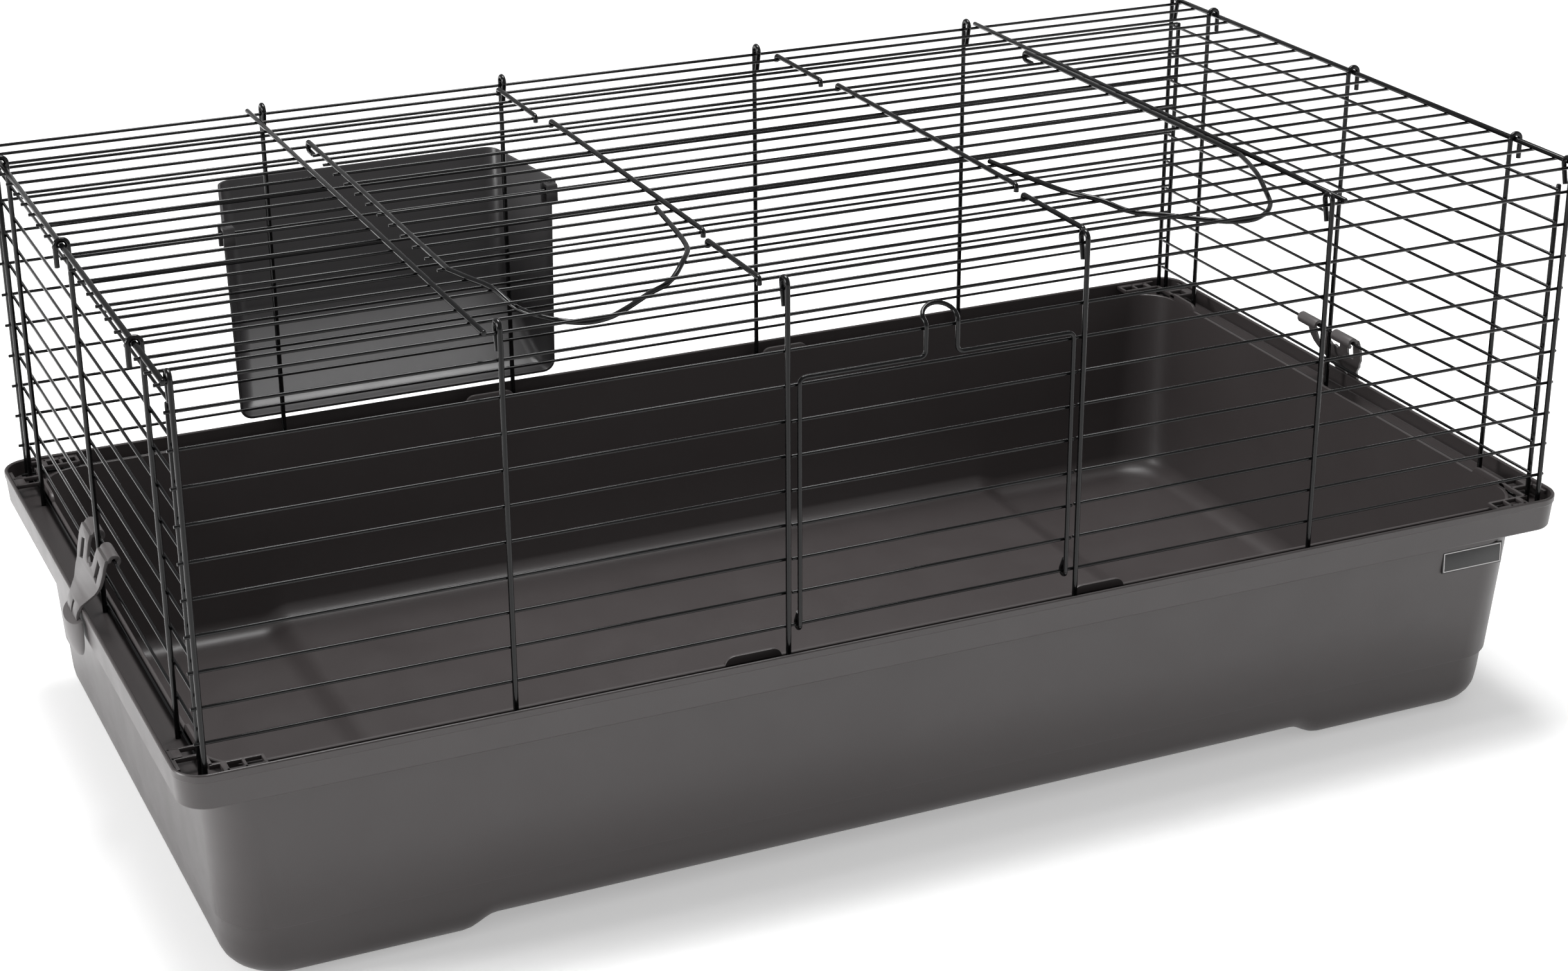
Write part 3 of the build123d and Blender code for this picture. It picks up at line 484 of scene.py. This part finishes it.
def ring(half_x, half_y, radius, z):
    """A flat loop of edges in the shape of a rectangle with round corners."""
    deselect()
    bpy.ops.mesh.primitive_plane_add(size=2)
    loop = bpy.context.object
    loop.scale = (half_x / 1000, half_y / 1000, 1)
    loop.location = spot(0, 0, z)
    bpy.ops.object.transform_apply(location=True, rotation=True, scale=True)
    bpy.ops.object.mode_set(mode="EDIT")
    bpy.ops.mesh.select_all(action="SELECT")
    bpy.ops.mesh.bevel(offset=radius / 1000, segments=CORNER_SEGMENTS, affect="VERTICES", profile=0.5,
                       clamp_overlap=False)
    bpy.ops.mesh.delete(type="ONLY_FACE")
    bpy.ops.object.mode_set(mode="OBJECT")
    return loop


def body_ring(z, inset=0.0, radius=None):
    """A loop on the body's drafted outer wall, drawn in by inset."""
    share = (-z - 12.0) / 154.0
    inward = BODY_DRAFT * share + inset
    if radius is None:
        radius = 32.0 + 8.0 * share
    return (BODY_TOP[0] - inward, BODY_TOP[1] - inward, radius, z)


def inner_ring(z, inset=0.0):
    """A loop on the inner wall, which drafts as the body does."""
    share = (-z - 6.0) / 157.2
    return (RIB_IN[0] - 7.2 * share - inset, RIB_IN[1] - 7.2 * share - inset, 29.2 + 8.0 * share - inset, z)


def tub_rings():
    """The loops of the tub's skin, from its inner floor, over the rim, to its underside.

    No two neighbours share a height, because Blender closes level loops with a lid.
    """
    rings = []
    for n in range(QUARTER_STEPS, -1, -1):
        angle = radians(90 * n / QUARTER_STEPS)
        height = INNER_FLOOR_Z + INNER_ROUND * (1 - sin(angle))
        rings.append(inner_ring(height, INNER_ROUND * (1 - cos(angle))))
    rings += [inner_ring(-90.0), inner_ring(-15.0), inner_ring(-6.5)]
    rings += [(476.1, 250.5, 29.5, -6.0), (477.5, 251.9, 31.0, -6.05), (478.0, 252.4, 31.2, -6.5)]
    rings += [(478.0, 252.4, 31.2, -11.4), (478.6, 253.0, 31.3, -11.9)]
    rings += [(496.8, 264.8, 17.0, -12.1), (497.4, 265.4, 17.4, -11.4), (497.4, 265.4, 17.4, -0.9)]
    rings += [(498.0, 266.0, 18.0, -0.2), (498.7, 266.7, 18.7, 0.0), (499.4, 267.4, 19.4, -0.2)]
    rings += [(499.9, 267.9, 19.9, -0.9), (499.9, 267.9, 19.9, -4.8), (499.6, 267.6, 19.6, -5.3)]
    rings += [(499.3, 267.3, 19.6, -5.6), (498.2, 266.2, 19.6, -23.0), (497.6, 265.6, 19.0, -23.8)]
    rings += [(496.9, 264.9, 18.4, -24.0), (495.6, 263.6, 17.2, -23.6), (495.5, 263.5, 17.2, -15.2)]
    rings += [(494.9, 262.9, 17.0, -14.6), (481.2, 255.6, 31.0, -14.7)]
    rings += [body_ring(-15.4), body_ring(-70.0), body_ring(STEP_Z + 0.6), body_ring(STEP_Z, 0.3)]
    rings += [body_ring(STEP_Z - 0.3, STEP_INSET - 0.3), body_ring(STEP_Z - 1.0, STEP_INSET)]
    rings.append(body_ring(-140.0, STEP_INSET))
    for n in range(QUARTER_STEPS + 1):
        angle = radians(90 * n / QUARTER_STEPS)
        inset = OUTER_ROUND * (1 - cos(angle))
        rings.append(body_ring(ROUND_START_Z - OUTER_ROUND * sin(angle), STEP_INSET + inset, 40.0 - inset))
    return rings


def select_last_loops(mesh, count):
    """Selects the edges of the newest loops, by their vertices' places in the list."""
    first = len(mesh.vertices) - count
    for vertex in mesh.vertices:
        vertex.select = vertex.index >= first
    for edge in mesh.edges:
        edge.select = edge.vertices[0] >= first and edge.vertices[1] >= first
    for face in mesh.polygons:
        face.select = False


def ramp(x):
    """0 over the feet and 1 over the raised middle, with an S-shaped rise between them."""
    t = min(max((ARCH_END_X - abs(x)) / ARCH_RISE, 0.0), 1.0)
    return t * t * (3 - 2 * t)


def make_tub(material):
    loops = tub_rings()
    tub = ring(*loops[0])
    count = len(tub.data.vertices)
    for numbers in loops[1:]:
        loop = ring(*numbers)
        deselect()
        loop.select_set(True)
        tub.select_set(True)
        bpy.context.view_layer.objects.active = tub
        bpy.ops.object.join()
        select_last_loops(tub.data, 2 * count)
        bpy.ops.object.mode_set(mode="EDIT")
        bpy.ops.mesh.select_mode(type="EDGE")
        bpy.ops.mesh.bridge_edge_loops()
        bpy.ops.object.mode_set(mode="OBJECT")
    for cap in (loops[0][3], loops[-1][3]):
        level = (cap + TUB_HEIGHT) / 1000
        for vertex in tub.data.vertices:
            vertex.select = abs(vertex.co.z - level) < 0.00001
        for edge in tub.data.edges:
            edge.select = all(tub.data.vertices[n].select for n in edge.vertices)
        for face in tub.data.polygons:
            face.select = False
        bpy.ops.object.mode_set(mode="EDIT")
        bpy.ops.mesh.select_mode(type="EDGE")
        bpy.ops.mesh.edge_face_add()
        bpy.ops.object.mode_set(mode="OBJECT")
    bpy.ops.object.mode_set(mode="EDIT")
    for x in ARCH_CUTS:
        for sign in (-1, 1):
            bpy.ops.mesh.select_all(action="SELECT")
            bpy.ops.mesh.bisect(plane_co=spot(sign * x, 0, 0), plane_no=(1, 0, 0))
    bpy.ops.object.mode_set(mode="OBJECT")
    for vertex in tub.data.vertices:
        z = vertex.co.z * 1000 - TUB_HEIGHT
        share = min(max((-134.0 - z) / 20.0, 0.0), 1.0)
        vertex.co.z += ARCH_LIFT / 1000 * ramp(vertex.co.x * 1000) * share
    bpy.ops.object.mode_set(mode="EDIT")
    bpy.ops.mesh.select_all(action="SELECT")
    bpy.ops.mesh.normals_make_consistent(inside=False)
    bpy.ops.object.mode_set(mode="OBJECT")
    tub = join_pieces([tub] + tub_tongues() + corner_brackets())
    dress(tub, "tub shell", "cage", ["tub"], material, 30)


def block(centre, size, rounding):
    """A small moulded block with rounded edges."""
    deselect()
    bpy.ops.mesh.primitive_cube_add(size=1, location=spot(*centre), scale=[n / 1000 for n in size])
    piece = bpy.context.object
    bpy.ops.object.transform_apply(location=True, rotation=True, scale=True)
    bpy.ops.object.mode_set(mode="EDIT")
    bpy.ops.mesh.select_all(action="SELECT")
    bpy.ops.mesh.bevel(offset=rounding / 1000, segments=2)
    bpy.ops.object.mode_set(mode="OBJECT")
    return piece


def tongue(x, y, along_x):
    """A standing tongue on the channel's inner rib, with two round top corners."""
    width, depth = (TONGUE_WIDTH, TONGUE_THICK) if along_x else (TONGUE_THICK, TONGUE_WIDTH)
    deselect()
    bpy.ops.mesh.primitive_cube_add(size=1, location=spot(x, y, -6.5),
                                    scale=(width / 1000, depth / 1000, 0.011))
    piece = bpy.context.object
    bpy.ops.object.transform_apply(location=True, rotation=True, scale=True)
    bpy.ops.object.mode_set(mode="EDIT")
    bpy.ops.mesh.select_all(action="DESELECT")
    bpy.ops.object.mode_set(mode="OBJECT")
    across = 0 if along_x else 1
    centre = spot(x, y, 0)
    for edge in piece.data.edges:
        ends = [piece.data.vertices[n].co for n in edge.vertices]
        top = min(end.z for end in ends) > centre.z - 0.004
        edge.select = top and abs(ends[0][across] - ends[1][across]) < 0.001
    bpy.ops.object.mode_set(mode="EDIT")
    bpy.ops.mesh.select_mode(type="EDGE")
    bpy.ops.mesh.bevel(offset=0.007, segments=6)
    bpy.ops.mesh.select_all(action="SELECT")
    bpy.ops.mesh.bevel(offset=0.0004, segments=2)
    bpy.ops.object.mode_set(mode="OBJECT")
    return piece


def tub_tongues():
    parts = []
    for side in (-1, 1):
        for x in (-126.0, 126.0):
            parts.append(tongue(x, side * 251.2, True))
        for y in (-211.0, 211.0):
            parts.append(tongue(side * 476.8, y, False))
    return parts


def corner_brackets():
    """Pocketed brackets across the channel's four corners, round the corner wires."""
    parts = []
    for sx in (-1, 1):
        for sy in (-1, 1):
            for x, y, wide, deep in (
                    (462.0, 251.2, 32.0, 2.4), (476.8, 237.5, 2.4, 30.0), (462.0, 263.6, 34.0, 2.4),
                    (495.6, 236.0, 2.4, 28.0), (445.5, 257.6, 2.0, 14.0), (457.5, 257.6, 2.0, 12.0),
                    (469.5, 257.6, 4.0, 12.0), (486.5, 223.2, 20.0, 2.0), (486.5, 235.5, 20.0, 2.6),
                    (452.0, 262.0, 13.0, 3.0), (463.5, 262.0, 12.0, 3.0), (492.0, 229.5, 6.0, 13.0)):
                parts.append(block((sx * x, sy * y, -3.5), (wide, deep, 3.0), 0.4))
    return parts


# Hay rack

RACK_X = -194.0


def make_hay_rack(material):
    """A tray hung on the back panel, open to the cage and at its top, with a ramp below its crease."""
    sections = {5.0: (126.0, 121.0, 15.0), 60.0: (127.0, 107.0, 70.0), 169.0: (129.0, 110.5, 83.0)}
    levels = sorted(sections)
    deselect()
    bpy.ops.mesh.primitive_cube_add(size=1, location=spot(RACK_X, RACK_FACE_Y + 40, 87),
                                    scale=(0.258, 0.08, 0.164))
    rack = bpy.context.object
    bpy.ops.object.transform_apply(location=True, rotation=True, scale=True)
    bpy.ops.object.mode_set(mode="EDIT")
    bpy.ops.mesh.select_all(action="SELECT")
    bpy.ops.mesh.bisect(plane_co=spot(0, 0, 60), plane_no=(0, 0, 1))
    bpy.ops.object.mode_set(mode="OBJECT")
    middle = spot(RACK_X, RACK_FACE_Y + 40, 0)
    for vertex in rack.data.vertices:
        z = vertex.co.z * 1000 - TUB_HEIGHT
        level = min(levels, key=lambda value: abs(value - z))
        front, rear, depth = sections[level]
        sign = 1 if vertex.co.x > middle.x else -1
        if vertex.co.y > middle.y:
            vertex.co = spot(RACK_X + sign * rear, RACK_FACE_Y + depth, level)
        else:
            vertex.co = spot(RACK_X + sign * front, RACK_FACE_Y, level)
    bpy.ops.object.mode_set(mode="EDIT")
    bpy.ops.mesh.select_mode(type="FACE")
    bpy.ops.mesh.select_all(action="DESELECT")
    bpy.ops.object.mode_set(mode="OBJECT")
    for face in rack.data.polygons:
        face.select = face.normal.y < -0.9 or face.normal.z > 0.9
    bpy.ops.object.mode_set(mode="EDIT")
    bpy.ops.mesh.delete(type="FACE")
    bpy.ops.mesh.select_mode(type="EDGE")
    bpy.ops.mesh.select_all(action="SELECT")
    bpy.ops.mesh.region_to_loop()
    bpy.ops.mesh.select_all(action="INVERT")
    bpy.ops.mesh.bevel(offset=0.009, segments=6)
    bpy.ops.mesh.select_all(action="SELECT")
    bpy.ops.mesh.bisect(plane_co=spot(0, RACK_FACE_Y, 163), plane_no=(0, -5.0 / 83.0, 1), clear_outer=True)
    bpy.ops.mesh.select_all(action="SELECT")
    bpy.ops.mesh.normals_make_consistent(inside=False)
    bpy.ops.object.mode_set(mode="OBJECT")
    give_wall(rack, 0.0022, even=True)
    soften_edges(rack, 0.0005, 2, 50)
    rail = rail_z(3)
    parts = [rack]
    for x in (-126.0, 126.0):
        hx = RACK_X + x
        parts.append(block((hx, 257.6, rail + 3.4), (9.0, 9.2, 2.6), 0.6))
        parts.append(block((hx, 253.4, rail - 3.6), (9.0, 2.0, 15.5), 0.6))
        parts.append(block((hx, 261.6, rail - 3.0), (12.0, 2.6, 16.0), 0.6))
    rack = join_pieces(parts)
    dress(rack, "hanging hay rack", "hay_rack", ["hay_rack"], material, 35)


# End clips. Each is made about the rail that it hangs on, facing +x, and then put in place.

CLIP_OUTLINE = [
    (0, -13.0), (4.0, -14.5), (7.5, -12.0), (9.5, -6.0), (11.0, 1.5), (35.0, 1.5), (35.5, -8.0),
    (33.5, -16.0), (28.0, -24.0), (20.5, -30.5), (15.5, -36.0), (13.5, -42.0), (13.5, -50.0), (15.0, -60.0)]
CLIP_PROFILE = [
    (3.0, 2.4), (0.0, 4.6), (-8.0, 6.4), (-20.0, 9.5), (-30.0, 14.5), (-38.0, 20.4), (-44.0, 22.0),
    (-62.0, 21.6)]


def clip_reach(v):
    """How far out from its rail the clip's plate stands, at a height v from the rail."""
    for (v0, u0), (v1, u1) in zip(CLIP_PROFILE, CLIP_PROFILE[1:]):
        if v0 >= v >= v1:
            return u0 + (u1 - u0) * (v0 - v) / (v0 - v1)
    return CLIP_PROFILE[0][1] if v > 0 else CLIP_PROFILE[-1][1]


def clip_plate():
    """The Y-shaped plate, cut flat with its windows and then bent down over the rim."""
    right = CLIP_OUTLINE
    left = [(-y, v) for y, v in reversed(CLIP_OUTLINE[1:])]
    deselect()
    bpy.ops.mesh.primitive_circle_add(vertices=len(right) + len(left), radius=0.01, fill_type="NGON")
    plate = bpy.context.object
    for vertex, (y, v) in zip(plate.data.vertices, right + left):
        vertex.co = (0, y / 1000, v / 1000)
    bpy.ops.object.mode_set(mode="EDIT")
    bpy.ops.mesh.select_all(action="SELECT")
    bpy.ops.mesh.extrude_region_move(TRANSFORM_OT_translate={"value": (0.0024, 0, 0)})
    bpy.ops.mesh.select_all(action="SELECT")
    bpy.ops.mesh.normals_make_consistent(inside=False)
    bpy.ops.object.mode_set(mode="OBJECT")
    for y, v, wide, high, lean in ((-21.5, -11.0, 8.0, 13.0, 12), (21.5, -11.0, 8.0, 13.0, -12),
                                   (0.0, -43.5, 4.0, 12.0, 0)):
        deselect()
        bpy.ops.mesh.primitive_cube_add(size=1, location=(0, y / 1000, v / 1000),
                                        rotation=(radians(lean), 0, 0),
                                        scale=(0.02, wide / 1000, high / 1000))
        cutter = bpy.context.object
        bpy.ops.object.transform_apply(location=True, rotation=True, scale=True)
        window = plate.modifiers.new("window", "BOOLEAN")
        window.object = cutter
        window.operation = "DIFFERENCE"
        window.solver = "EXACT"
        deselect()
        plate.select_set(True)
        bpy.context.view_layer.objects.active = plate
        bpy.ops.object.modifier_apply(modifier="window")
        bpy.data.objects.remove(cutter)
    bpy.ops.object.mode_set(mode="EDIT")
    for n in range(1, 16):
        bpy.ops.mesh.select_all(action="SELECT")
        bpy.ops.mesh.bisect(plane_co=(0, 0, -n * 0.004), plane_no=(0, 0, 1))
    bpy.ops.object.mode_set(mode="OBJECT")
    for vertex in plate.data.vertices:
        vertex.co.x += clip_reach(vertex.co.z * 1000) / 1000
    soften_edges(plate, 0.0004, 2, 60)
    return plate


def clip_roll(y):
    """A lobe's rolled top: a thick tube's arc over the rail."""
    deselect()
    bpy.ops.mesh.primitive_cylinder_add(vertices=28, radius=0.0045, depth=0.024, location=(0, y / 1000, 0),
                                        rotation=(radians(90), 0, 0), end_fill_type="NOTHING")
    roll = bpy.context.object
    bpy.ops.object.transform_apply(location=True, rotation=True, scale=True)
    bpy.ops.object.mode_set(mode="EDIT")
    bpy.ops.mesh.select_all(action="SELECT")
    bpy.ops.mesh.bisect(plane_co=(0.0008, 0, -0.0026), plane_no=(0.5, 0, -1), clear_outer=True)
    bpy.ops.object.mode_set(mode="OBJECT")
    give_wall(roll, 0.0026)
    soften_edges(roll, 0.0004, 2, 50)
    return roll


def clip_pad():
    """The crowned thumb pad below the waist, with a round lower end."""
    deselect()
    bpy.ops.mesh.primitive_uv_sphere_add(segments=40, ring_count=24, radius=1, location=(0.0212, 0, -0.053),
                                         scale=(0.0085, 0.021, 0.0235))
    pad = bpy.context.object
    bpy.ops.object.transform_apply(location=True, rotation=True, scale=True)
    bpy.ops.object.mode_set(mode="EDIT")
    bpy.ops.mesh.select_all(action="SELECT")
    bpy.ops.mesh.bisect(plane_co=(0.0216, 0, 0), plane_no=(-1, 0, 0), use_fill=True, clear_outer=True)
    bpy.ops.mesh.select_all(action="SELECT")
    bpy.ops.mesh.bisect(plane_co=(0.0216, 0, -0.0455), plane_no=(0.45, 0, 1), use_fill=True, clear_outer=True)
    bpy.ops.object.mode_set(mode="OBJECT")
    soften_edges(pad, 0.0008, 3, 45)
    return pad


def make_end_clip(side, material):
    clip = join_pieces([clip_plate(), clip_roll(-23.0), clip_roll(23.0), clip_pad()])
    if side < 0:
        clip.rotation_euler = (0, 0, pi)
    clip.location = spot(side * END_RAIL_X, MIDDLE_UPRIGHT_Y, rail_z(8))
    word = "left" if side < 0 else "right"
    dress(clip, word + " end clip", word + "_clip", [word + "_clip"], material, 35)


# Name plate

def label_plate(material, line_material):
    """The bare, raised name-plate place on the front wall, with its pale border line."""
    slope = atan2(7.5, 154.0)
    x0, x1, z0, z1 = 407.5, 458.5, -49.3, -33.0
    wall_y = -(254.6 - 7.5 * (41.0 - 12.0) / 154.0)
    deselect()
    bpy.ops.mesh.primitive_cube_add(size=1, location=spot((x0 + x1) / 2, wall_y - 0.2, (z0 + z1) / 2),
                                    rotation=(-slope, 0, 0),
                                    scale=((x1 - x0) / 1000, 0.0012, (z1 - z0) / 1000))
    plate = bpy.context.object
    bpy.ops.object.transform_apply(location=True, rotation=True, scale=True)
    bpy.ops.object.mode_set(mode="EDIT")
    bpy.ops.mesh.select_all(action="SELECT")
    bpy.ops.mesh.bevel(offset=0.0004, segments=2)
    bpy.ops.object.mode_set(mode="OBJECT")
    dress(plate, "blank plate", "cage", [], material)
    deselect()
    bpy.ops.mesh.primitive_cube_add(size=1, location=spot((x0 + x1) / 2, wall_y - 0.45, (z0 + z1) / 2),
                                    rotation=(-slope, 0, 0),
                                    scale=((x1 - x0 - 2) / 1000, 0.0009, (z1 - z0 - 2) / 1000))
    line = bpy.context.object
    bpy.ops.object.transform_apply(location=True, rotation=True, scale=True)
    bpy.ops.object.mode_set(mode="EDIT")
    bpy.ops.mesh.select_all(action="DESELECT")
    bpy.ops.object.mode_set(mode="OBJECT")
    for face in line.data.polygons:
        face.select = abs(face.normal.y) > 0.9
    bpy.ops.object.mode_set(mode="EDIT")
    bpy.ops.mesh.select_mode(type="FACE")
    bpy.ops.mesh.inset(thickness=0.0006)
    bpy.ops.mesh.bridge_edge_loops()
    bpy.ops.object.mode_set(mode="OBJECT")
    dress(line, "plate border", "cage", [], line_material)


# Stage

def make_stage():
    deselect()
    bpy.ops.mesh.primitive_plane_add(size=40, location=(0, 0, -0.0005))
    floor = bpy.context.object
    floor.name = "studio floor"
    material, nodes, links, shader = new_material("white studio floor", (0.9, 0.9, 0.9), 0.9)
    shader.inputs["Emission Color"].default_value = (1, 1, 1, 1)
    shader.inputs["Emission Strength"].default_value = 0.35
    floor.data.materials.append(material)
    world = bpy.data.worlds.new("white studio")
    bpy.context.scene.world = world
    world.use_nodes = True
    nodes = world.node_tree.nodes
    background = nodes["Background"]
    background.inputs["Color"].default_value = (1, 1, 1, 1)
    path = nodes.new("ShaderNodeLightPath")
    strength = nodes.new("ShaderNodeMapRange")
    strength.inputs["To Min"].default_value = 0.37
    strength.inputs["To Max"].default_value = 1.1
    world.node_tree.links.new(path.outputs["Is Camera Ray"], strength.inputs["Value"])
    world.node_tree.links.new(strength.outputs["Result"], background.inputs["Strength"])


def area_light(name, place, target, width, height, power):
    lamp = bpy.data.lights.new(name, "AREA")
    lamp.shape = "RECTANGLE"
    lamp.size = width
    lamp.size_y = height
    lamp.energy = power
    light = bpy.data.objects.new(name, lamp)
    bpy.context.collection.objects.link(light)
    light.location = place
    light.rotation_euler = (Vector(target) - Vector(place)).to_track_quat("-Z", "Y").to_euler()


def make_lights():
    area_light("left softbox", (-2.4, 0.2, 0.9), (0, 0, 0.15), 0.8, 0.8, 36)
    area_light("overhead softbox", (0.1, 0.35, 2.5), (0, 0.1, 0.0), 1.5, 1.1, 80)
    area_light("front fill", (2.6, -2.2, 1.0), (0.2, 0, 0.1), 1.6, 1.2, 5)


def make_camera():
    """The photograph's camera, solved from the cage's own straight wires."""
    turn = Vector((1.9367131, -0.4241346, 0.2760266))
    turned = Matrix.Rotation(turn.length, 3, turn.normalized())
    eye = -(turned.transposed() @ Vector((-9.68208, -4.91677, 2147.42456)))
    right = Vector(turned[0])
    up = -Vector(turned[1])
    back = -Vector(turned[2])
    camera_data = bpy.data.cameras.new("photograph camera")
    camera_data.sensor_width = 36.0
    camera_data.lens = 4628.06 * 36.0 / 2441.0
    camera = bpy.data.objects.new("photograph camera", camera_data)
    bpy.context.collection.objects.link(camera)
    pose = Matrix((right, up, back)).transposed().to_4x4()
    pose.translation = spot(*eye)
    camera.matrix_world = pose
    bpy.context.scene.camera = camera


def build():
    wire = lacquered_wire()
    tub_plastic = moulded_plastic("warm grey tub plastic", (0.048, 0.041, 0.041), (0.04, 0.034, 0.034), 0.42,
                                  1800.0, 0.2, 0.1)
    clip_plastic = moulded_plastic("light grey clip plastic", (0.085, 0.078, 0.078), (0.07, 0.064, 0.064),
                                   0.42, 1500.0, 0.15)
    rack_plastic = moulded_plastic("anthracite rack plastic", (0.03, 0.028, 0.029), (0.024, 0.023, 0.024),
                                   0.4, 1500.0, 0.15)
    plate_plastic = moulded_plastic("black plate", (0.012, 0.012, 0.012), (0.01, 0.01, 0.01),
                                    0.35, 900.0, 0.1)
    line_paint = moulded_plastic("pale border line", (0.6, 0.58, 0.58), (0.55, 0.53, 0.53), 0.5, 900.0, 0.05)
    make_wire_top(wire)
    make_top_door(wire)
    make_front_door(wire)
    make_tub(tub_plastic)
    make_end_clip(-1, clip_plastic)
    make_end_clip(1, clip_plastic)
    make_hay_rack(rack_plastic)
    label_plate(plate_plastic, line_paint)


bpy.context.scene.view_settings.view_transform = "Standard"
build()
make_stage()
make_lights()
make_camera()
